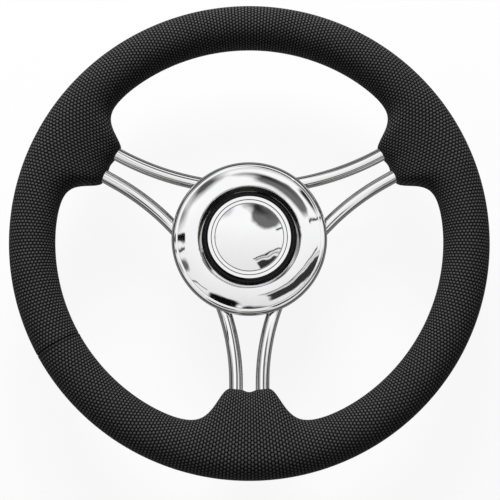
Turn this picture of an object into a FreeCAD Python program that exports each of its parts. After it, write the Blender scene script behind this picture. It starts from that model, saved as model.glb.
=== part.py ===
import FreeCAD, Part
import math
import os

from FreeCAD import Placement, Rotation, Vector

# Boat steering wheel: a moulded ring grip with three lugs, three bent spoke bars that each run
# from one lug past the hub to the next, and a bright ring-shaped cover with a domed centre cap.
# The origin is the centre of the hub's rear face, on the shaft axis. +Z runs along the shaft
# towards the driver and +Y to the top of the wheel. Lengths are millimetres, angles degrees.

# Grip and its steel core
wheel_diameter = 350.0
grip_diameter = 33.4
core_diameter = 12.0
upper_lug_angle = 27.7
upper_lug_reach = 24.8
upper_lug_half_angle = 9.4
upper_lug_dip = 1.1
bottom_lug_reach = 30.5
bottom_lug_half_angle = 10.4
bottom_lug_dip = 2.1
lug_flank_power = 4.8
lug_corner_sharpness = 2.0
lug_bluntness = 3.5
lug_dip_angle = 2.4
seam_angle = 213.5
seam_groove_radius = 0.7

# Spoke bars
bar_diameter = 10.0
bar_axis_offset = 40.0
bar_pair_pitch = 19.2
dish = 25.0

# Hub plate
plate_margin = 10.0
plate_thickness = 5.0
bar_seat_depth = 1.0
weld_bead_radius = 2.4
weld_bead_length = 24.0

# Hub boss with its tapered shaft bore
boss_body_length = 24.0
boss_body_radius = 21.0
boss_flange_thickness = 8.0
boss_flange_margin = 6.5
boss_fillet = 1.5
boss_chamfer = 1.5
spigot_radius = 17.5
spigot_stand = 1.0
spigot_clearance = 0.05
bore_large_diameter = 19.05
bore_taper = 1.0 / 12.0
keyway_width = 4.76
keyway_depth = 2.4

# Boss screws and their spring washers
boss_screw_diameter = 6.0
boss_screw_length = 14.0
boss_screw_head_radius = 5.0
boss_screw_head_height = 6.0
boss_screw_socket = 5.0
boss_screw_socket_depth = 3.0
boss_hole_clearance = 0.3
boss_washer_radius = 5.2
boss_washer_gap = 0.8
boss_washer_thickness = 1.6
boss_washer_split = 1.2
thread_clearance = 0.05

# Cover posts, screws and washers
post_radius = 4.0
post_length = 10.8
post_rivet_radius = 2.5
post_thread_depth = 8.0
cover_screw_diameter = 4.0
cover_screw_length = 8.0
cover_screw_head_radius = 4.0
cover_screw_head_height = 2.4
cover_hole_clearance = 0.25
cover_washer_radius = 4.5
cover_washer_margin = 1.0
cover_washer_thickness = 0.8

# Hub cover, pressed from sheet
cover_wall = 1.2
cover_opening_margin = 0.5
recess_ledge = 1.2
recess_wall_run = 5.2
recess_depth = 5.0
crest_rounding = 1.0
annulus_width = 14.6
annulus_crown = 0.9
shoulder_drop = 3.4
shoulder_groove = 0.7
band_width = 5.0
band_drop = 3.2
lip_clearance = 0.8

# Centre cap
cap_clearance = 0.25
bezel_wall = 2.75
bezel_web = 1.0
bezel_stand = 2.6
bezel_bevel = 1.0
bezel_groove = 0.35
bezel_groove_inset = 3.55
bezel_skirt_gap = 1.0
bezel_face_width = 6.35
screw_head_room = 0.4
dome_ledge_width = 3.4
dome_edge_thickness = 2.0
dome_edge_stand = 0.2
dome_edge_rounding = 0.4
dome_rise = 4.0
dome_wall = 1.6
dome_clearance = 0.1
o_ring_section = 1.5
o_ring_height = 1.7
o_ring_groove_width = 2.0

# Sections of the moulded grip round each lug and round the tube
stations_per_half_window = 22
points_per_section = 24
station_crowding = 0.45
station_stretch = 4.0

# Worked out from the sizes above
grip_radius = grip_diameter / 2
core_ring_radius = (wheel_diameter - grip_diameter) / 2
bar_radius = bar_diameter / 2
pair_offset = bar_pair_pitch / 2
lug_angles = [-90.0, upper_lug_angle, 180.0 - upper_lug_angle]
plate_rear = boss_body_length + boss_flange_thickness
plate_front = plate_rear + plate_thickness
bar_hub_height = plate_front - bar_seat_depth + bar_radius
rim_height = bar_hub_height + dish
plate_radius = bar_axis_offset + plate_margin
boss_screw_circle = boss_body_radius + boss_fillet + boss_washer_gap + boss_washer_radius
boss_flange_radius = boss_screw_circle + boss_flange_margin
post_top = plate_front + post_length
floor_top = post_top + cover_wall
cap_roof = floor_top + cover_washer_thickness + cover_screw_head_height + screw_head_room
dome_seat = cap_roof + bezel_web
bezel_top = dome_seat + dome_edge_thickness
recess_base = bezel_top - bezel_stand
crest_height = recess_base + recess_depth
cover_opening_radius = spigot_radius + cover_opening_margin
post_circle = cover_opening_radius + cover_washer_margin + cover_washer_radius
bezel_radius = post_circle + cover_washer_radius + bezel_skirt_gap + bezel_wall
cap_well_radius = bezel_radius + cap_clearance
dome_radius = bezel_radius - bezel_face_width
bezel_groove_radius = bezel_radius - bezel_groove_inset
bezel_seat_radius = dome_radius - dome_ledge_width
recess_base_radius = cap_well_radius + recess_ledge
crest_radius = recess_base_radius + recess_wall_run
shoulder_radius = crest_radius + annulus_width
cover_edge_radius = shoulder_radius + band_width
post_angles = [90.0, 210.0, 330.0]
screw_angles = [30.0, 150.0, 270.0]
UP = Vector(0, 0, 1)


def polar(radius, angle, height=0.0):
    """Point at a radius and an angle round the shaft axis."""
    turn = math.radians(angle)
    return Vector(radius * math.cos(turn), radius * math.sin(turn), height)


def cylinder(radius, height, base=Vector(0, 0, 0), direction=UP):
    return Part.makeCylinder(radius, height, base, direction)


def revolved(points):
    """Solid of revolution about the shaft axis from an outline of (radius, height) points."""
    outline = [Vector(r, 0, z) for r, z in points]
    face = Part.Face(Part.makePolygon(outline + [outline[0]]))
    return face.revolve(Vector(0, 0, 0), UP, 360)


def ring(inner_radius, outer_radius, low, high):
    """Plain flat ring round the shaft axis."""
    corners = [(inner_radius, low), (outer_radius, low), (outer_radius, high), (inner_radius, high)]
    return revolved(corners)


def around(shape, radius, angles):
    """Copies of a shape that stands on the shaft axis, moved out to each angle of a circle."""
    copies = []
    for angle in angles:
        copy = shape.copy()
        copy.Placement = Placement(polar(radius, angle), Rotation(UP, angle))
        copies.append(copy)
    return copies


def joined(shapes):
    """One solid fused from overlapping shapes, with its seams merged."""
    return shapes[0].fuse(shapes[1:]).removeSplitter()


# Spoke bars: a round bar bent once, lying in a plane that leans forward so that its straight
# ends run side by side with the next bar's and meet the core ring on its centreline.
def bar_path(start_angle, end_angle):
    """Centreline of the bar between two lugs: straight leg, arc round the hub, straight leg."""
    leg_rise = math.radians(90.0 - (end_angle - start_angle) / 2)
    leg_length = math.sqrt(core_ring_radius ** 2 - pair_offset ** 2)
    end_x = leg_length * math.cos(leg_rise) - pair_offset * math.sin(leg_rise)
    end_y = leg_length * math.sin(leg_rise) + pair_offset * math.cos(leg_rise) - bar_axis_offset
    lean = math.atan2(dish, end_y)
    bend = math.atan(math.tan(leg_rise) / math.cos(lean))
    leg_drop = (bar_axis_offset - pair_offset / math.cos(leg_rise)) / math.cos(lean)
    bend_radius = leg_drop * math.cos(bend) / (1 - math.cos(bend))
    bend_x = bend_radius * math.sin(bend)
    bend_y = bend_radius * (1 - math.cos(bend))

    def place(x, along_lean):
        flat = Vector(x, bar_axis_offset + along_lean * math.cos(lean), 0)
        turned = Rotation(UP, (start_angle + end_angle) / 2 - 90.0).multVec(flat)
        turned.z = bar_hub_height + along_lean * math.sin(lean)
        return turned

    far = end_y / math.cos(lean)
    spots = [(end_x, far), (bend_x, bend_y), (0, 0), (-bend_x, bend_y), (-end_x, far)]
    corners = [place(*spot) for spot in spots]
    edges = [
        Part.LineSegment(corners[0], corners[1]).toShape(),
        Part.Arc(corners[1], corners[2], corners[3]).toShape(),
        Part.LineSegment(corners[3], corners[4]).toShape(),
    ]
    return Part.Wire(edges), corners


def swept_round(path, radius, start, direction):
    """Round bar of one radius along a path."""
    profile = Part.Wire([Part.Circle(start, direction, radius).toShape()])
    return path.makePipeShell([profile], True, True)


def spoke_bar(start_angle, end_angle):
    path, corners = bar_path(start_angle, end_angle)
    return swept_round(path, bar_radius, corners[0], corners[1] - corners[0])


rim_core = Part.makeTorus(core_ring_radius, core_diameter / 2, Vector(0, 0, rim_height), UP)
windows = {
    "right": (lug_angles[0], lug_angles[1]),
    "top": (lug_angles[1], lug_angles[2]),
    "left": (lug_angles[2], lug_angles[0] + 360.0),
}
upper_lug = (upper_lug_reach, upper_lug_half_angle, upper_lug_dip)
bottom_lug = (bottom_lug_reach, bottom_lug_half_angle, bottom_lug_dip)
window_lugs = {
    "right": (bottom_lug, upper_lug),
    "top": (upper_lug, upper_lug),
    "left": (upper_lug, bottom_lug),
}
full_bars = {side: spoke_bar(*angles) for side, angles in windows.items()}


# Grip: closed sections round the tube at stations that crowd at the lugs, joined by one smooth
# surface. Each section is a circle in the windows and reaches inwards into a blunt tongue at a lug.
def lug_reach_at(angle_from_lug, lug):
    """How far the grip reaches inwards past its round tube, at an angle from a lug's middle."""
    reach, half_angle, middle_dip = lug
    flank = (abs(angle_from_lug) / half_angle) ** (lug_flank_power * lug_corner_sharpness)
    dip = middle_dip * math.exp(-(angle_from_lug / lug_dip_angle) ** 2)
    return reach * (1 + flank) ** (-1 / lug_corner_sharpness) - dip


def bar_fall_at(radius):
    """How far a bar's centreline lies below the rim plane where it leaves the lug."""
    points = bar_path(*windows["left"])[0].discretize(300)
    nearest = min(points, key=lambda p: abs(math.hypot(p.x, p.y) - radius))
    return rim_height - nearest.z


def grip_section(angle, angle_from_lug, lug, lug_fall):
    """Points of one section of the grip, starting at the outside and going over the top."""
    reach = lug_reach_at(angle_from_lug, lug)
    share = reach / lug[0]
    power = 2 + (lug_bluntness - 2) * share
    points = []
    for step in range(points_per_section):
        turn = 2 * math.pi * step / points_per_section
        inward = max(0.0, -math.cos(turn))
        if inward > 0:
            rise = (1 - inward ** power) ** (1 / power)
        else:
            rise = abs(math.sin(turn))
        height = grip_radius * math.copysign(rise, math.sin(turn))
        radius = core_ring_radius + grip_radius * math.cos(turn) - reach * inward ** 2
        points.append(polar(radius, angle, rim_height + height - lug_fall * share * inward ** 2))
    return points


def spline_poles(points):
    """Poles of the closed uniform cubic curve that runs through a ring of points."""
    poles = points
    for _ in range(40):
        last = len(poles)
        poles = [(points[i] * 6 - poles[i - 1] - poles[(i + 1) % last]) * 0.25 for i in range(last)]
    return poles


def grip_stations():
    """Stations (angle round the wheel, angle from the nearest lug, that lug), once round."""
    stations = []
    for side, (start, end) in windows.items():
        half = (end - start) / 2
        for step in range(-stations_per_half_window, stations_per_half_window):
            share = 1 - abs(step) / stations_per_half_window
            spread = half * (station_crowding * share + (1 - station_crowding) * share ** station_stretch)
            if step < 0:
                stations.append((start + spread, spread, window_lugs[side][0]))
            else:
                stations.append((end - spread, spread, window_lugs[side][1]))
    return sorted_round(stations)


def sorted_round(stations):
    """Stations in one turn from the wheel's right, with no station twice."""
    ordered = sorted((angle % 360.0, away, lug) for angle, away, lug in stations)
    return [s for i, s in enumerate(ordered) if i == 0 or s[0] - ordered[i - 1][0] > 0.01]


def moulded_ring():
    tube_inside = core_ring_radius - grip_radius
    falls = {lug: bar_fall_at(tube_inside - lug[0]) for lug in (upper_lug, bottom_lug)}
    sections = []
    for angle, away, lug in grip_stations():
        sections.append(spline_poles(grip_section(angle, away, lug, falls[lug])))
    columns = [spline_poles(list(column)) for column in zip(*sections)]
    poles = [list(row) for row in zip(*columns)]
    rows = len(poles)
    surface = Part.BSplineSurface()
    surface.buildFromPolesMultsKnots(
        poles,
        [1] * (rows + 1),
        [1] * (points_per_section + 1),
        list(range(rows + 1)),
        list(range(points_per_section + 1)),
        True,
        True,
        3,
        3,
    )
    solid = Part.Solid(Part.Shell([surface.toShape()]))
    if solid.Volume < 0:
        solid.reverse()
    return solid


def seam_groove():
    """Round groove that runs round the tube where the mould was closed."""
    centre = polar(core_ring_radius, seam_angle, rim_height)
    along = polar(1, seam_angle + 90)
    return Part.makeTorus(grip_radius, seam_groove_radius, centre, along)


def grip():
    return moulded_ring().cut([rim_core, seam_groove()] + list(full_bars.values()))


# Hub plate: a steel disc with a seat for each bar, the boss's spigot hole and tapped holes.
def hub_plate():
    disc = ring(spigot_radius + spigot_clearance, plate_radius, plate_rear, plate_front)
    tapped = cylinder(boss_screw_diameter / 2 + thread_clearance, plate_front)
    rivet = cylinder(post_rivet_radius, plate_front)
    holes = around(tapped, boss_screw_circle, screw_angles) + around(rivet, post_circle, post_angles)
    return disc.cut(holes + list(full_bars.values()))


def weld_bead(side, offset):
    """One bead beside a bar on the plate, with rounded ends."""
    start_angle, end_angle = windows[side]
    middle = (start_angle + end_angle) / 2
    path = bar_path(start_angle, end_angle)[0]
    points = path.discretize(400)
    outward = polar(1, middle)
    across = polar(1, middle - 90)
    low = plate_front + weld_bead_radius * 0.35
    trail = []
    for share in (-0.5, 0.0, 0.5):
        near = min(points, key=lambda p: abs(p.dot(across) - share * weld_bead_length))
        spot = near + outward * offset
        spot.z = low
        trail.append(spot)
    bend = Part.Arc(*trail)
    wire = Part.Wire([bend.toShape()])
    bead = swept_round(wire, weld_bead_radius, trail[0], bend.tangent(bend.FirstParameter)[0])
    ends = [Part.makeSphere(weld_bead_radius, trail[0]), Part.makeSphere(weld_bead_radius, trail[2])]
    return joined([bead] + ends)


def plate_welds(plate):
    offset = math.sqrt(bar_radius ** 2 - (bar_radius - bar_seat_depth) ** 2) + weld_bead_radius * 0.55
    beads = []
    for side in windows:
        for sign in (-1, 1):
            beads.append(weld_bead(side, sign * offset).cut([full_bars[side], plate]))
    return Part.makeCompound([solid for bead in beads for solid in bead.Solids])


# Hub boss: turned, with a spigot through the plate, a flange for the screws and a 1 in 12 bore.
def bore_radius(height):
    return bore_large_diameter / 2 - height * bore_taper / 2


def hub_boss():
    front = plate_front + spigot_stand
    turned = revolved([
        (bore_radius(0), 0),
        (boss_body_radius, 0),
        (boss_body_radius, boss_body_length),
        (boss_flange_radius, boss_body_length),
        (boss_flange_radius, plate_rear),
        (spigot_radius, plate_rear),
        (spigot_radius, front),
        (bore_radius(front), front),
    ])
    turned = turned.makeChamfer(boss_chamfer, circle_edges(turned, boss_body_radius, 0))
    flange_edge = circle_edges(turned, boss_flange_radius, boss_body_length)
    turned = turned.makeChamfer(boss_chamfer / 2, flange_edge)
    turned = turned.makeFillet(boss_fillet, circle_edges(turned, boss_body_radius, boss_body_length))
    hole = cylinder(boss_screw_diameter / 2 + boss_hole_clearance, plate_front)
    return turned.cut(around(hole, boss_screw_circle, screw_angles) + [keyway(front)])


def circle_edges(shape, radius, height):
    """Round edges of a turned shape at one radius and height."""
    found = []
    for edge in shape.Edges:
        if edge.Degenerated or not isinstance(edge.Curve, Part.Circle):
            continue
        if abs(edge.Curve.Radius - radius) < 1e-4 and abs(edge.Curve.Center.z - height) < 1e-4:
            found.append(edge)
    return found


def keyway(length):
    """Slot along the wall of the bore, parallel to its taper."""
    slot = Part.makeBox(keyway_width, bore_large_diameter / 2 + keyway_depth, length * 1.5)
    slot.translate(Vector(-keyway_width / 2, 0, -length * 0.25))
    lean = math.degrees(math.atan(bore_taper / 2))
    slot.rotate(Vector(0, 0, 0), Vector(1, 0, 0), lean)
    return slot


def boss_screws():
    """Socket cap screws that pass up through the boss flange into the plate."""
    head_top = boss_body_length - boss_washer_thickness
    head_base = head_top - boss_screw_head_height
    head = cylinder(boss_screw_head_radius, boss_screw_head_height, Vector(0, 0, head_base))
    head_edge = circle_edges(head, boss_screw_head_radius, head_base)
    head = head.makeChamfer(boss_screw_head_radius * 0.1, head_edge)
    shank = cylinder(boss_screw_diameter / 2, boss_screw_length, Vector(0, 0, head_top))
    corner = boss_screw_socket / math.sqrt(3)
    corners = [polar(corner, 60.0 * i, head_base) for i in range(7)]
    socket = Part.Face(Part.makePolygon(corners)).extrude(UP * boss_screw_socket_depth)
    return Part.makeCompound(around(joined([head, shank]).cut(socket), boss_screw_circle, screw_angles))


def boss_washers():
    """Split spring washers under the heads of the boss screws."""
    low = boss_body_length - boss_washer_thickness
    inner_radius = boss_screw_diameter / 2 + thread_clearance * 3
    washer = ring(inner_radius, boss_washer_radius, low, boss_body_length)
    split = Part.makeBox(boss_washer_radius * 2, boss_washer_split, boss_washer_thickness * 3)
    split.translate(Vector(0, -boss_washer_split / 2, low - boss_washer_thickness))
    split.rotate(Vector(0, 0, low), Vector(1, 0, 0), 25)
    return Part.makeCompound(around(washer.cut(split), boss_screw_circle, screw_angles))


# Posts, screws and washers that hold the cover.
def cover_posts():
    post = joined([
        cylinder(post_radius, post_length, Vector(0, 0, plate_front)),
        cylinder(post_rivet_radius, plate_thickness, Vector(0, 0, plate_rear)),
    ])
    thread_radius = cover_screw_diameter / 2 + thread_clearance
    thread = cylinder(thread_radius, post_thread_depth, Vector(0, 0, post_top), -UP)
    return Part.makeCompound(around(post.cut(thread), post_circle, post_angles))


def cover_screws():
    """Pan head screws that stand on the cover's floor under the cap."""
    seat = floor_top + cover_washer_thickness
    head = cylinder(cover_screw_head_radius, cover_screw_head_height, Vector(0, 0, seat))
    top_edge = circle_edges(head, cover_screw_head_radius, seat + cover_screw_head_height)
    head = head.makeFillet(cover_screw_head_height * 0.6, top_edge)
    shank = cylinder(cover_screw_diameter / 2, cover_screw_length, Vector(0, 0, seat), -UP)
    return Part.makeCompound(around(joined([head, shank]), post_circle, post_angles))


def cover_washers():
    hole = cover_screw_diameter / 2 + cover_hole_clearance
    washer = ring(hole, cover_washer_radius, floor_top, floor_top + cover_washer_thickness)
    return Part.makeCompound(around(washer, post_circle, post_angles))


# Hub cover: pressed sheet, with a flat floor on the posts, a well for the cap, a sloping recess
# wall, a crowned ring, a fine shoulder groove and a rounded outer band with a short lip.
def cover_lip_base():
    """Lowest point of the cover's lip, clear of the bars that pass under it."""
    reach = cover_edge_radius + bar_radius
    tops = []
    for angles in windows.values():
        points = bar_path(*angles)[0].discretize(400)
        tops.append(max(p.z for p in points if math.hypot(p.x, p.y) < reach))
    return max(tops) + bar_radius + lip_clearance


def cover_outline():
    """Outer face of the cover as a path in the half plane through the shaft axis."""
    shoulder = crest_height - shoulder_drop
    band_base = shoulder - shoulder_groove - band_drop
    lip_base = cover_lip_base()

    def spot(radius, height):
        return Vector(radius, 0, height)

    wall = Vector(recess_base_radius - crest_radius, 0, recess_base - crest_height)
    wall.normalize()
    crest_in = spot(crest_radius, crest_height) + wall * crest_rounding
    crest_out = spot(crest_radius + crest_rounding, crest_height + crest_rounding * 0.12)
    crest_mid = (crest_in + crest_out) * 0.5 + Vector(-0.22, 0, 0.26) * crest_rounding
    crown = spot((crest_radius + shoulder_radius) / 2, (crest_height + shoulder) / 2 + annulus_crown)
    shoulder_in = spot(shoulder_radius, shoulder)
    shoulder_low = spot(shoulder_radius + shoulder_groove / 2, shoulder - shoulder_groove)
    shoulder_out = spot(shoulder_radius + shoulder_groove, shoulder - shoulder_groove)
    band_end = spot(cover_edge_radius, band_base)
    band_turn = (band_width - shoulder_groove) * 0.62
    band_mid = spot(shoulder_radius + shoulder_groove + band_turn, band_base + band_drop * 0.66)
    return Part.Wire([
        Part.makeLine(spot(cover_opening_radius, floor_top), spot(cap_well_radius, floor_top)),
        Part.makeLine(spot(cap_well_radius, floor_top), spot(cap_well_radius, recess_base)),
        Part.makeLine(spot(cap_well_radius, recess_base), spot(recess_base_radius, recess_base)),
        Part.makeLine(spot(recess_base_radius, recess_base), crest_in),
        Part.Arc(crest_in, crest_mid, crest_out).toShape(),
        Part.Arc(crest_out, crown, shoulder_in).toShape(),
        Part.makeLine(shoulder_in, shoulder_low),
        Part.makeLine(shoulder_low, shoulder_out),
        Part.Arc(shoulder_out, band_mid, band_end).toShape(),
        Part.makeLine(band_end, spot(cover_edge_radius, lip_base)),
    ])


def hub_cover():
    sheet = cover_outline().makeOffset2D(-cover_wall, join=0, fill=True, openResult=True)
    hole = cylinder(cover_screw_diameter / 2 + cover_hole_clearance, crest_height)
    return sheet.revolve(Vector(0, 0, 0), UP, 360).cut(around(hole, post_circle, post_angles))


# Centre cap: a bezel that slides into the well of the cover, a rubber ring and a domed disc.
def cap_bezel():
    skirt = bezel_radius - bezel_wall
    seat_wall = dome_radius + dome_clearance
    groove_base = bezel_radius - o_ring_section + cap_clearance
    groove_low = floor_top + o_ring_height - o_ring_groove_width / 2
    groove_high = groove_low + o_ring_groove_width
    return revolved([
        (skirt, floor_top),
        (bezel_radius, floor_top),
        (bezel_radius, groove_low),
        (groove_base, groove_low),
        (groove_base, groove_high),
        (bezel_radius, groove_high),
        (bezel_radius, bezel_top - bezel_bevel * 1.3),
        (bezel_radius - bezel_bevel * 0.35, bezel_top - bezel_bevel * 0.45),
        (bezel_radius - bezel_bevel, bezel_top),
        (bezel_groove_radius + bezel_groove, bezel_top),
        (bezel_groove_radius, bezel_top - bezel_groove),
        (bezel_groove_radius - bezel_groove, bezel_top),
        (seat_wall, bezel_top),
        (seat_wall, dome_seat),
        (bezel_seat_radius, dome_seat),
        (bezel_seat_radius, cap_roof),
        (skirt, cap_roof),
    ])


def cap_dome():
    """Domed disc with an even wall, standing on the bezel's inner ledge."""
    crown = bezel_top + dome_edge_stand + dome_rise
    ball_radius = (dome_radius ** 2 + dome_rise ** 2) / (2 * dome_rise)
    centre = Vector(0, 0, crown - ball_radius)
    seat = Vector(0, 0, dome_seat)
    outer = cylinder(dome_radius, crown - dome_seat, seat).common(Part.makeSphere(ball_radius, centre))
    outer = outer.makeFillet(dome_edge_rounding, circle_edges(outer, dome_radius, crown - dome_rise))
    inner_radius = dome_radius - dome_wall
    inner = Part.makeSphere(ball_radius - dome_wall, centre)
    return outer.cut(cylinder(inner_radius, crown - dome_seat, seat).common(inner))


def cap_o_ring():
    centre_radius = cap_well_radius - o_ring_section / 2
    return Part.makeTorus(centre_radius, o_ring_section / 2, Vector(0, 0, floor_top + o_ring_height), UP)


def all_nodes():
    plate = hub_plate()
    nodes = {
        "grip": grip(),
        "rim_core": rim_core,
        "hub_plate": plate,
        "plate_welds": plate_welds(plate),
        "hub_boss": hub_boss(),
        "boss_screws": boss_screws(),
        "boss_washers": boss_washers(),
        "cover_posts": cover_posts(),
        "cover_screws": cover_screws(),
        "cover_washers": cover_washers(),
        "hub_cover": hub_cover(),
        "cap_bezel": cap_bezel(),
        "cap_dome": cap_dome(),
        "cap_o_ring": cap_o_ring(),
    }
    for side, bar in full_bars.items():
        nodes["spoke_bar_" + side] = bar.cut(rim_core)
    return nodes


os.makedirs("parts", exist_ok=True)
for name, shape in all_nodes().items():
    shape.exportStep("parts/" + name + ".step")
    print(name, len(shape.Solids), "solids", shape.isValid(), round(shape.Volume, 1))
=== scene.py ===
import math

import bpy
import numpy as np
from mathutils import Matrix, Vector


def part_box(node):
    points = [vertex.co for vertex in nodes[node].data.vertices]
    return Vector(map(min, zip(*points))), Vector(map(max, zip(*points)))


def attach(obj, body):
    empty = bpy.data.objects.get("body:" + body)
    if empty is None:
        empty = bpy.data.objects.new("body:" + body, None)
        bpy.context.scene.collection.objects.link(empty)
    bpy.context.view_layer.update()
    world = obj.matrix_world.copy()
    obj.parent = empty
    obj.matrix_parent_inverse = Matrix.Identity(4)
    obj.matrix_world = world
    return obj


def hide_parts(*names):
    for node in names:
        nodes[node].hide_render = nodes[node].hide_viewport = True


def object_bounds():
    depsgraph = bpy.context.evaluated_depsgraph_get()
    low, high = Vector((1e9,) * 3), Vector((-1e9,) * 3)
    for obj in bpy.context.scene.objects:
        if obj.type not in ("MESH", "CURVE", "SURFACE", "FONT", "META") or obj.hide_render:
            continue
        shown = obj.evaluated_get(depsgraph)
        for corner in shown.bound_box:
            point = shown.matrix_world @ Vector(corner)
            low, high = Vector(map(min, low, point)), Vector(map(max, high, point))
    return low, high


# Boat steering wheel seen from the driver's side: a black moulded grip with fine raised bumps,
# mirror-bright spoke bars, hub cover and cap, and plain machined steel behind.
# Lengths are metres. +Z points to the driver and +Y to the top of the wheel.

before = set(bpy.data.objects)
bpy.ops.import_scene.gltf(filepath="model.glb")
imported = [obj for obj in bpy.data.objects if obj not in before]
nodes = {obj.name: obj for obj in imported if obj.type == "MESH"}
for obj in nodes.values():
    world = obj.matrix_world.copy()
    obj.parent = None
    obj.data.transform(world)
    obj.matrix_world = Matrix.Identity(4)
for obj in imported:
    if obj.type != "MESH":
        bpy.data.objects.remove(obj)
bpy.context.view_layer.update()
cad_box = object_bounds()

MM = 0.001

# Grip: the same sizes as its solid, less a hair so that the skin stays inside it
core_low, core_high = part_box("rim_core")
rim_height = (core_low.z + core_high.z) / 2
core_radius = (core_high.z - core_low.z) / 2
ring_radius = (core_high.x - core_low.x) / 2 - core_radius
grip_low, grip_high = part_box("grip")
tube_radius = grip_high.z - rim_height
skin_inset = 0.03 * MM
upper_lug_angle = 27.7
upper_lug = {"reach": 24.8 * MM, "half_angle": 9.4, "dip": 1.1 * MM, "fall": 10.66 * MM}
bottom_lug = {"reach": 30.5 * MM, "half_angle": 10.4, "dip": 2.1 * MM, "fall": 12.36 * MM}
lug_flank_power = 4.8
lug_corner_sharpness = 2.0
lug_bluntness = 3.5
lug_dip_angle = 2.4
seam_angle = 210.3
seam_depth = 0.45 * MM
seam_half_width = 0.55 * MM
seam_ridge_height = 0.16 * MM
seam_ridge_offset = 1.3 * MM
seam_line_half_width = 0.42 * MM

# Bumps of the grip's skin
bump_columns = 216
bump_row_pitch = 2.58 * MM
bump_height = 0.42 * MM
bump_half_column = 0.285
bump_half_row = 0.555
lug_row_stretch = 0.16

# Camera, found by fitting the wheel's outlines in the 500 x 500 frame
image_size = 500.0
camera_tilt = 9.7
camera_distance = 0.706
pixels_per_metre = 1370.6
rim_centre_px = (249.3, 234.5)
sensor_width = 36.0



def grey(level):
    """A grey colour."""
    return (level, level, level)


WHITE = grey(1.0)

# Looks of the grip's skin
# Painted shade: near-black in the valleys between the bumps and in the seam's groove
grip_painted_groove_shade = (0.0012, 0.0012, 0.0013)
# Bump tops: lighter from rub wear and from painted highlight
grip_top_wear_and_highlight = ((0.080, 0.080, 0.081), (0.115, 0.115, 0.116))
grip_bump_edge = 0.32
grip_grain_share = 0.06
grip_ridge_tone = (0.035, 0.035, 0.036)
grip_roughness = (0.40, 0.52)
grip_specular = 0.05

# Rings drawn on the bright metal round the shaft axis: two radii and a soft edge in millimetres,
# and a colour. The near-black ring in the joint between cap and cover and on the bezel's outer
# side is painted shade of the recess. The bezel's two grooves are drawn as darker grey lines.
# Painted shade: near-black drawn on the recess round the cap
painted_recess_shade = grey(0.012)
# Darker grey drawn in the bezel's two grooves
bezel_groove_grey = grey(0.10)
cover_rings = [(30.0, 33.6, 0.5, painted_recess_shade)]
bezel_rings = [(25.3, 25.9, 0.2, bezel_groove_grey), (27.8, 28.6, 0.3, bezel_groove_grey), (30.7, 40.0, 0.2, painted_recess_shade)]

# Mesh of the grip: points round a section, and degrees between sections
points_round = 104
section_step = 0.5
seam_zone = 1.25
seam_sections = np.linspace(-1.2, 1.2, 41)

# Floor and lamps
floor_half_size = 6.0
floor_gap = 0.2 * MM
floor_tone = 0.9
floor_roughness = 0.8
floor_plain_share = 0.9
floor_in_mirrors = grey(0.16)
even_light = grey(0.09)
lamp_size = 0.9
key_lamp = {"place": (-0.12, 1.25, 0.95), "power": 33.0}
fill_lamp = {"place": (-0.9, -0.5, 1.1), "power": 3.0}

# The pale room that the bright metal mirrors. A tilt is in degrees from the shaft axis. A height
# is 1 towards the top of the wheel and -1 towards its bottom. Pairs are the ends of a soft edge.
room_heights = (-0.6, 0.4)
room_tones = (grey(0.86), grey(1.1))
wall_tilts = (58.0, 66.0)
wall_tone = grey(0.36)
horizon_start = (73.0, 75.0)
horizon_end = (86.0, 88.0)
horizon_tone = grey(0.006)
far_end_heights = (0.45, 0.6)
far_end_tilts = (64.0, 70.0)
far_end_tone = grey(0.24)
patch_sway = 9.0
patch_sway_scale = 4.0

# Patches on a flat map of the room: degrees from the shaft axis to the wheel's right and to its
# top. Each has a middle, half sizes, a turn, a soft edge and a colour.
patches = {
    "warm_room_low": ("box", (0, -68), (60, 15), 0, 8, (0.36, 0.345, 0.32)),
    "warm_room_right": ("box", (66, -6), (9, 30), 0, 6, (0.62, 0.59, 0.55)),
    "cool_room_left": ("box", (-72, -4), (12, 30), 0, 10, (0.42, 0.42, 0.43)),
    "dark_low_left": ("oval", (-19, -36), (12, 9), 12, 3, grey(0.004)),
    "dark_low": ("oval", (2, -46), (14, 7), 0, 3, grey(0.004)),
    "lit_spot": ("oval", (-9, -42), (2.6, 4.5), -10, 2, grey(1.0)),
    "dark_block": ("box", (34, -15), (26, 8.5), 22, 2, grey(0.035)),
    "block_line": ("box", (30, -9.5), (25, 1), 23, 1, grey(0.95)),
    "block_edge": ("box", (26, -6), (24, 0.9), 24, 1, grey(0.02)),
    "grey_blind": ("oval", (17, 31), (16, 12), -22, 3, grey(0.17)),
    "dark_blind": ("oval", (9, 40), (15, 5), -25, 7, grey(0.03)),
    "frame_line": ("box", (42, 22), (14, 0.9), 20, 1, grey(0.04)),
    "dark_upper_right": ("box", (45, 38), (4.5, 12), 45, 4, grey(0.02)),
    "grey_above_left": ("oval", (-29, 45), (13, 9), 35, 10, grey(0.10)),
    "grey_left": ("oval", (-52, 26), (13, 9), 25, 12, grey(0.30)),
    "dark_left": ("box", (-52, 9), (14, 2.8), 0, 1.5, grey(0.004)),
    "line_left": ("box", (-52, 1), (13, 1), 8, 1, grey(0.02)),
    "grey_low_left": ("oval", (-46, -9), (7, 4), 12, 3, grey(0.14)),
    "line_low_left": ("box", (-36, -24), (8, 0.8), -12, 1, grey(0.06)),
}

def new_material(name):
    """Material with a single principled shader; returns it with its nodes and shader."""
    material = bpy.data.materials.new(name)
    material.use_nodes = True
    tree = material.node_tree
    return material, tree, tree.nodes["Principled BSDF"]


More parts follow.
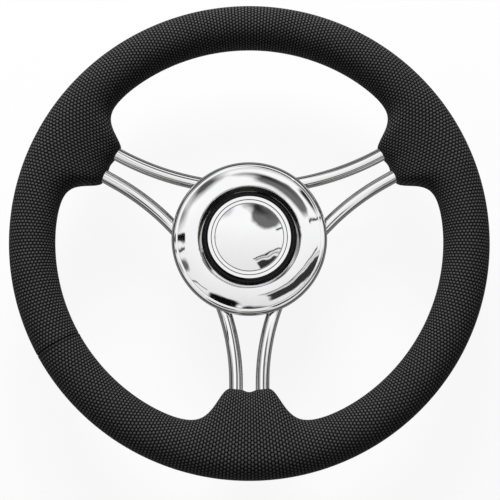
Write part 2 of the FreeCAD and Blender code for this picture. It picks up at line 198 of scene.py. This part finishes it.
def add(tree, kind, **settings):
    """New node with its properties set, and its inputs set or linked by name or number."""
    node = tree.nodes.new(kind)
    inputs = settings.pop("inputs", {})
    for key, value in settings.items():
        setattr(node, key, value)
    for key, value in inputs.items():
        if isinstance(value, bpy.types.NodeSocket):
            tree.links.new(value, node.inputs[key])
        else:
            node.inputs[key].default_value = value
    return node


def math_node(tree, operation, first, second=0.0, third=0.0):
    values = {0: first, 1: second, 2: third}
    return add(tree, "ShaderNodeMath", operation=operation, inputs=values).outputs[0]


def noise(tree, coordinates, scale, detail=3.0, roughness=0.5):
    values = {"Vector": coordinates, "Scale": scale, "Detail": detail, "Roughness": roughness}
    return add(tree, "ShaderNodeTexNoise", inputs=values).outputs["Fac"]


def spread(tree, value, low, high, from_low=0.3, from_high=0.7):
    """Maps a value to the range from low to high, and keeps it in there."""
    values = {"Value": value, "To Min": low, "To Max": high}
    values.update({"From Min": from_low, "From Max": from_high})
    return add(tree, "ShaderNodeMapRange", inputs=values).outputs[0]


def mixed(tree, factor, first, second):
    """Blend of two colours."""
    node = add(tree, "ShaderNodeMix", data_type="RGBA", clamp_factor=True)
    for number, value in ((0, factor), (6, first), (7, second)):
        socket = node.inputs[number]
        if isinstance(value, bpy.types.NodeSocket):
            tree.links.new(value, socket)
        else:
            socket.default_value = (*value, 1.0) if isinstance(value, tuple) else value
    return node.outputs[2]


def axis_distance(tree, place):
    """Distance from the shaft axis."""
    split = add(tree, "ShaderNodeSeparateXYZ", inputs={0: place})
    squares = [math_node(tree, "MULTIPLY", side, side) for side in list(split.outputs)[:2]]
    return math_node(tree, "SQRT", math_node(tree, "ADD", *squares))


def add_bump(tree, shader, height, distance, strength=1.0):
    """Fine relief of a surface, from a height between 0 and 1."""
    values = {"Strength": strength, "Distance": distance, "Height": height}
    bump = add(tree, "ShaderNodeBump", inputs=values)
    tree.links.new(bump.outputs[0], shader.inputs["Normal"])


# Materials
def grip_material():
    """Black moulded polyurethane: oval bumps in offset rows, satin, with tops lighter from rub
    wear and painted highlight, and near-black valleys of painted shade.

    The mould seam is a dark line of painted shade in its groove, with a paler ridge beside it.
    """
    material, tree, shader = new_material("grip_skin")
    lattice = add(tree, "ShaderNodeUVMap", uv_map="lattice").outputs[0]
    split = add(tree, "ShaderNodeSeparateXYZ", inputs={0: lattice})
    buttons = []
    for start in (0.0, 0.5):
        reach = []
        for axis, half_size in ((0, bump_half_column), (1, bump_half_row)):
            moved = math_node(tree, "ADD", split.outputs[axis], start)
            off = math_node(tree, "WRAP", moved, 0.5, -0.5)
            reach.append(math_node(tree, "POWER", math_node(tree, "DIVIDE", off, half_size), 2.0))
        buttons.append(math_node(tree, "SUBTRACT", 1.0, math_node(tree, "ADD", *reach)))
    rounded = math_node(tree, "MAXIMUM", math_node(tree, "MAXIMUM", *buttons), 0.0)
    place = add(tree, "ShaderNodeTexCoord").outputs["Object"]
    rubbed = noise(tree, place, 60.0, 4.0)
    grain = noise(tree, place, 2600.0, 2.0)
    uneven = spread(tree, noise(tree, place, 240.0, 2.0), 0.75, 1.0)
    height = math_node(tree, "MULTIPLY", rounded, uneven)
    height = math_node(tree, "MULTIPLY_ADD", grain, grip_grain_share, height)
    on_bump = spread(tree, rounded, 0.0, 1.0, grip_bump_edge, 1.0)
    # Painted highlight and rub wear on the bump tops, painted shade in the valleys
    skin = mixed(tree, on_bump, grip_painted_groove_shade, mixed(tree, rubbed, *grip_top_wear_and_highlight))
    column_size = 2 * math.pi * ring_radius / bump_columns
    line_half = seam_line_half_width / column_size
    from_seam = math_node(tree, "SUBTRACT", split.outputs[0], bump_columns * seam_angle / 360.0)
    from_line = math_node(tree, "ABSOLUTE", from_seam)
    on_line = spread(tree, from_line, 1.0, 0.0, line_half, line_half * 1.6)
    # Painted shade in the seam's groove
    skin = mixed(tree, on_line, skin, grip_painted_groove_shade)
    from_ridge = math_node(tree, "SUBTRACT", from_seam, seam_ridge_offset / column_size)
    from_ridge = math_node(tree, "ABSOLUTE", from_ridge)
    on_ridge = spread(tree, from_ridge, 1.0, 0.0, line_half * 0.6, line_half)
    skin = mixed(tree, on_ridge, skin, grip_ridge_tone)
    tree.links.new(skin, shader.inputs["Base Color"])
    tree.links.new(spread(tree, rubbed, *grip_roughness), shader.inputs["Roughness"])
    shader.inputs["Specular IOR Level"].default_value = grip_specular
    add_bump(tree, shader, height, bump_height)
    return material


def bright_material(name, waviness, roughness, rings=()):
    """Polished metal: nearly a mirror, with faint uneven polishing and a few soft smears.

    A ring is drawn round the shaft axis: its two radii, soft edge and colour.
    """
    material, tree, shader = new_material(name)
    place = add(tree, "ShaderNodeTexCoord").outputs["Object"]
    smears = noise(tree, place, 35.0, 5.0, 0.6)
    ripple = noise(tree, place, 55.0, 2.0, 0.4)
    metal = mixed(tree, smears, (0.90, 0.90, 0.91), (0.82, 0.82, 0.83))
    radius = axis_distance(tree, place) if rings else None
    for inner, outer, soft, tone in rings:
        past_inner = spread(tree, radius, 0.0, 1.0, inner * MM, (inner + soft) * MM)
        before_outer = spread(tree, radius, 1.0, 0.0, (outer - soft) * MM, outer * MM)
        metal = mixed(tree, math_node(tree, "MULTIPLY", past_inner, before_outer), metal, tone)
    tree.links.new(metal, shader.inputs["Base Color"])
    tree.links.new(spread(tree, smears, roughness, roughness * 2.2), shader.inputs["Roughness"])
    shader.inputs["Metallic"].default_value = 1.0
    add_bump(tree, shader, ripple, waviness)
    return material


def machined_material(name, light, dark, roughness, lines_per_metre):
    """Machined metal with fine turning lines round the shaft axis and uneven dullness."""
    material, tree, shader = new_material(name)
    place = add(tree, "ShaderNodeTexCoord").outputs["Object"]
    split = add(tree, "ShaderNodeSeparateXYZ", inputs={0: place})
    depth = math_node(tree, "ADD", axis_distance(tree, place), split.outputs[2])
    track = add(tree, "ShaderNodeCombineXYZ", inputs={0: depth}).outputs[0]
    lines = noise(tree, track, lines_per_metre, 2.0)
    patches = noise(tree, place, 70.0, 4.0)
    tree.links.new(mixed(tree, patches, light, dark), shader.inputs["Base Color"])
    tree.links.new(spread(tree, patches, roughness, roughness * 1.5), shader.inputs["Roughness"])
    shader.inputs["Metallic"].default_value = 1.0
    add_bump(tree, shader, lines, 0.04 * MM, 0.5)
    return material


def weld_material():
    """Weld bead: ripples of cooled metal with brown and blue heat colour."""
    material, tree, shader = new_material("weld_bead")
    place = add(tree, "ShaderNodeTexCoord").outputs["Object"]
    values = {"Vector": place, "Scale": 320.0, "Distortion": 3.0}
    ripples = add(tree, "ShaderNodeTexWave", inputs=values)
    heat = noise(tree, place, 120.0, 3.0)
    colour = mixed(tree, heat, (0.42, 0.33, 0.24), (0.36, 0.37, 0.40))
    tree.links.new(colour, shader.inputs["Base Color"])
    tree.links.new(spread(tree, heat, 0.28, 0.5), shader.inputs["Roughness"])
    shader.inputs["Metallic"].default_value = 1.0
    add_bump(tree, shader, ripples.outputs["Fac"], 0.25 * MM, 0.6)
    return material


def seal_material():
    """Smooth black rubber with a little dust."""
    material, tree, shader = new_material("seal_rubber")
    place = add(tree, "ShaderNodeTexCoord").outputs["Object"]
    dust = noise(tree, place, 300.0, 4.0)
    tree.links.new(mixed(tree, dust, grey(0.012), grey(0.05)), shader.inputs["Base Color"])
    tree.links.new(spread(tree, dust, 0.45, 0.65), shader.inputs["Roughness"])
    return material


def dress(names, material):
    """Gives CAD nodes a material in place of their plain one."""
    for name in names:
        for slot in nodes[name].material_slots:
            slot.material = material


# Grip skin: one mesh round the wheel whose sections are the solid's
def lug_reach_at(away, lug):
    """How far the grip reaches inwards past its round tube, at an angle from a lug's middle."""
    flank = (abs(away) / lug["half_angle"]) ** (lug_flank_power * lug_corner_sharpness)
    dip = lug["dip"] * math.exp(-((away / lug_dip_angle) ** 2))
    return lug["reach"] * (1 + flank) ** (-1 / lug_corner_sharpness) - dip


def nearest_lug(angle):
    """The lug nearest to an angle round the wheel, and the angle from its middle."""
    upper = [(middle, upper_lug) for middle in (upper_lug_angle, 180.0 - upper_lug_angle)]
    lugs = [(-90.0, bottom_lug)] + upper
    gaps = [((angle - middle + 180.0) % 360.0 - 180.0, lug) for middle, lug in lugs]
    return min(gaps, key=lambda gap: abs(gap[0]))


def seam_height(angle):
    """Height of the skin above the tube beside the seam: a groove with a fine ridge next to it."""
    across = math.radians(angle - seam_angle) * ring_radius
    groove = seam_depth * math.exp(-((across / seam_half_width) ** 2))
    ridge = seam_ridge_height * math.exp(-(((across - seam_ridge_offset) / seam_half_width) ** 2))
    return ridge - groove


def grip_section(angle, turns):
    """Radius and height of the grip's points at an angle, for each turn round its section."""
    away, lug = nearest_lug(angle)
    reach = lug_reach_at(away, lug)
    share = reach / lug["reach"]
    power = 2 + (lug_bluntness - 2) * share
    fall = lug["fall"] * share
    tube = tube_radius - skin_inset + seam_height(angle) - seam_ridge_height
    inward = np.maximum(0.0, -np.cos(turns))
    rise = np.where(inward > 0, (1 - inward ** power) ** (1 / power), np.abs(np.sin(turns)))
    radius = ring_radius + tube * np.cos(turns) - reach * inward ** 2
    height = rim_height + tube * rise * np.sign(np.sin(turns)) - fall * inward ** 2
    return radius, height


def even_turns(angle, count):
    """Turns round a section that put the mesh's points evenly along it."""
    dense = np.linspace(0, 2 * math.pi, 721)
    radius, height = grip_section(angle, dense)
    steps = np.hypot(np.diff(radius), np.diff(height))
    length = np.concatenate([[0], np.cumsum(steps)])
    return np.interp(np.linspace(0, length[-1], count + 1), length, dense), length, dense


def grip_angles():
    """Stations round the wheel, closer together at the seam."""
    even = np.arange(0, 360, section_step)
    fine = seam_angle + seam_sections
    keep = [a for a in even if abs(a - seam_angle) > seam_zone]
    return np.sort(np.concatenate([keep, fine]))


def grip_skin():
    """Mesh of the grip, with the bump lattice's place on it as texture coordinates."""
    angles = grip_angles()
    vertices = []
    rows = []
    for angle in angles:
        turns, length, dense = even_turns(angle, points_round)
        radius, height = grip_section(angle, turns)
        turn = math.radians(angle)
        front = np.interp(math.pi / 2, dense, length)
        away, lug = nearest_lug(angle)
        pitch = bump_row_pitch * (1 + lug_row_stretch * lug_reach_at(away, lug) / lug["reach"])
        rows.append((np.interp(turns, dense, length) - front) / pitch)
        for r, z in zip(radius[:-1], height[:-1]):
            vertices.append((r * math.cos(turn), r * math.sin(turn), z))
    faces = []
    places = []
    count = len(angles)
    for i in range(count):
        k = (i + 1) % count
        column = bump_columns * angles[i] / 360.0
        next_column = bump_columns * (angles[k] / 360.0 + (1 if k == 0 else 0))
        for j in range(points_round):
            m = (j + 1) % points_round
            here, there = i * points_round, k * points_round
            faces.append((here + j, there + j, there + m, here + m))
            places += [
                (column, rows[i][j]),
                (next_column, rows[k][j]),
                (next_column, rows[k][j + 1]),
                (column, rows[i][j + 1]),
            ]
    mesh = bpy.data.meshes.new("moulded_grip")
    mesh.from_pydata(vertices, [], faces)
    lattice = mesh.uv_layers.new(name="lattice")
    lattice.data.foreach_set("uv", np.array(places, dtype=np.float32).ravel())
    mesh.polygons.foreach_set("use_smooth", [True] * len(faces))
    mesh.update()
    piece = bpy.data.objects.new("moulded_grip", mesh)
    bpy.context.scene.collection.objects.link(piece)
    mesh.materials.append(grip_material())
    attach(piece, "root")
    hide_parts("grip")
    return piece


# Studio
def floor():
    """Pale floor: white to the camera with a soft shadow, and a darker grey to mirrors."""
    mesh = bpy.data.meshes.new("floor")
    half = floor_half_size
    corners = [(-half, -half), (half, -half), (half, half), (-half, half)]
    level = cad_box[0].z - floor_gap
    mesh.from_pydata([(x, y, level) for x, y in corners], [], [(0, 1, 2, 3)])
    piece = bpy.data.objects.new("floor", mesh)
    bpy.context.scene.collection.objects.link(piece)
    material, tree, shader = new_material("pale_floor")
    shader.inputs["Base Color"].default_value = (*grey(floor_tone), 1.0)
    shader.inputs["Roughness"].default_value = floor_roughness
    path = add(tree, "ShaderNodeLightPath")
    tone = mixed(tree, path.outputs["Is Camera Ray"], floor_in_mirrors, WHITE)
    paper = add(tree, "ShaderNodeEmission", inputs={"Color": tone, "Strength": 1.0})
    seen = math_node(tree, "MAXIMUM", path.outputs["Is Camera Ray"], path.outputs["Is Glossy Ray"])
    share = math_node(tree, "MULTIPLY", seen, floor_plain_share)
    parts = {0: share, 1: shader.outputs[0], 2: paper.outputs[0]}
    both = add(tree, "ShaderNodeMixShader", inputs=parts)
    tree.links.new(both.outputs[0], tree.nodes["Material Output"].inputs["Surface"])
    mesh.materials.append(material)


def vector_node(tree, operation, first, **other):
    """Vector result of an operation; the second vector or the scale goes in by name."""
    values = {0: first}
    if "second" in other:
        values[1] = other["second"]
    if "scale" in other:
        values["Scale"] = other["scale"]
    return add(tree, "ShaderNodeVectorMath", operation=operation, inputs=values).outputs[0]


def sky_map(tree, look):
    """Place of a direction on the room's flat map, with swaying edges, its tilt and its height."""
    parts = add(tree, "ShaderNodeSeparateXYZ", inputs={0: look}).outputs
    tilt = math_node(tree, "DEGREES", math_node(tree, "ARCCOSINE", parts[2]))
    flat = add(tree, "ShaderNodeCombineXYZ", inputs={0: parts[0], 1: parts[1]}).outputs[0]
    unit = vector_node(tree, "NORMALIZE", flat)
    place = vector_node(tree, "SCALE", unit, scale=tilt)
    values = {"Vector": look, "Scale": patch_sway_scale, "Detail": 2.0}
    ripple = add(tree, "ShaderNodeTexNoise", inputs=values).outputs["Color"]
    ripple = vector_node(tree, "SUBTRACT", ripple, second=grey(0.5))
    sway = vector_node(tree, "SCALE", ripple, scale=patch_sway)
    return vector_node(tree, "ADD", place, second=sway), tilt, parts[1]


def patch_mask(tree, place, shape, middle, half, turn, soft):
    """1 inside a patch of the room's map and 0 outside, with a soft edge."""
    moved = vector_node(tree, "SUBTRACT", place, second=(*middle, 0.0))
    values = {"Vector": moved, "Angle": math.radians(-turn)}
    turned = add(tree, "ShaderNodeVectorRotate", rotation_type="Z_AXIS", inputs=values)
    parts = add(tree, "ShaderNodeSeparateXYZ", inputs={0: turned.outputs[0]}).outputs
    away = [math_node(tree, "ABSOLUTE", parts[i]) for i in (0, 1)]
    if shape == "box":
        edges = [
            spread(tree, distance, 1.0, 0.0, size - soft / 2, size + soft / 2)
            for distance, size in zip(away, half)
        ]
        return math_node(tree, "MULTIPLY", *edges)
    shares = [math_node(tree, "DIVIDE", distance, size) for distance, size in zip(away, half)]
    squares = [math_node(tree, "POWER", share, 2.0) for share in shares]
    round_share = math_node(tree, "SQRT", math_node(tree, "ADD", *squares))
    slack = soft / (2 * min(half))
    return spread(tree, round_share, 1.0, 0.0, 1 - slack, 1 + slack)


def surround():
    """World: white to the camera, a room of patches to mirrors, plain light to everything else."""
    world = bpy.data.worlds.new("studio")
    bpy.context.scene.world = world
    world.use_nodes = True
    tree = world.node_tree
    tree.nodes.clear()
    look = add(tree, "ShaderNodeTexCoord").outputs["Generated"]
    place, tilt, upward = sky_map(tree, look)
    shade = mixed(tree, spread(tree, upward, 0.0, 1.0, *room_heights), *room_tones)
    shade = mixed(tree, spread(tree, tilt, 0.0, 1.0, *wall_tilts), shade, wall_tone)
    for shape, middle, half, turn, soft, colour in patches.values():
        mask = patch_mask(tree, place, shape, middle, half, turn, soft)
        shade = mixed(tree, mask, shade, colour)
    past_start = spread(tree, tilt, 0.0, 1.0, *horizon_start)
    before_end = spread(tree, tilt, 1.0, 0.0, *horizon_end)
    not_far_end = spread(tree, upward, 1.0, 0.0, *far_end_heights)
    horizon = math_node(tree, "MULTIPLY", past_start, before_end)
    horizon = math_node(tree, "MULTIPLY", horizon, not_far_end)
    shade = mixed(tree, horizon, shade, horizon_tone)
    low_enough = spread(tree, tilt, 0.0, 1.0, *far_end_tilts)
    far_enough = spread(tree, upward, 0.0, 1.0, *far_end_heights)
    far_end = math_node(tree, "MULTIPLY", low_enough, far_enough)
    shade = mixed(tree, far_end, shade, far_end_tone)
    path = add(tree, "ShaderNodeLightPath")
    plain = mixed(tree, path.outputs["Is Glossy Ray"], even_light, shade)
    final = mixed(tree, path.outputs["Is Camera Ray"], plain, WHITE)
    background = add(tree, "ShaderNodeBackground", inputs={"Color": final, "Strength": 1.0})
    output = add(tree, "ShaderNodeOutputWorld")
    tree.links.new(background.outputs[0], output.inputs["Surface"])


def softbox(name, place, power):
    """Square area lamp aimed at the wheel. Mirrors show the room in its place."""
    lamp = bpy.data.lights.new(name, "AREA")
    lamp.size = lamp_size
    lamp.energy = power
    piece = bpy.data.objects.new(name, lamp)
    piece.location = place
    way = Vector((0, 0, rim_height)) - Vector(place)
    piece.rotation_euler = way.to_track_quat("-Z", "Y").to_euler()
    piece.visible_camera = False
    piece.visible_glossy = False
    bpy.context.scene.collection.objects.link(piece)


def camera():
    """Camera at the photograph's place: straight over the wheel, tilted up a little from below."""
    data = bpy.data.cameras.new("camera")
    piece = bpy.data.objects.new("camera", data)
    bpy.context.scene.collection.objects.link(piece)
    tilt = math.radians(camera_tilt)
    data.sensor_width = sensor_width
    data.lens = pixels_per_metre * camera_distance / image_size * sensor_width
    data.shift_x = (image_size / 2 - rim_centre_px[0]) / image_size
    data.shift_y = (rim_centre_px[1] - image_size / 2) / image_size
    offset = Vector((0, -math.sin(tilt), math.cos(tilt))) * camera_distance
    piece.location = Vector((0, 0, rim_height)) + offset
    piece.rotation_euler = (tilt, 0, 0)
    bpy.context.scene.camera = piece


grip_skin()
bars = bright_material("bright_bars", 0.004 * MM, 0.03)
dress(["spoke_bar_top", "spoke_bar_left", "spoke_bar_right"], bars)
# Cover and bezel carry the recess's painted shade as rings round the shaft axis
dress(["hub_cover"], bright_material("bright_cover", 0.02 * MM, 0.035, cover_rings))
dress(["cap_bezel"], bright_material("bright_bezel", 0.006 * MM, 0.03, bezel_rings))
dress(["cap_dome"], bright_material("bright_dome", 0.006 * MM, 0.03))
steel_tones = ((0.60, 0.60, 0.61), (0.47, 0.47, 0.48))
steel = machined_material("machined_steel", *steel_tones, 0.26, 2200.0)
dress(["hub_plate", "boss_screws", "boss_washers", "cover_posts", "cover_screws"], steel)
dress(["cover_washers", "rim_core"], steel)
boss_tones = ((0.72, 0.73, 0.74), (0.60, 0.61, 0.62))
dress(["hub_boss"], machined_material("turned_boss", *boss_tones, 0.3, 1500.0))
dress(["plate_welds"], weld_material())
dress(["cap_o_ring"], seal_material())

floor()
surround()
softbox("key", **key_lamp)
softbox("fill", **fill_lamp)
camera()
bpy.context.scene.view_settings.view_transform = "Standard"

bpy.context.view_layer.update()
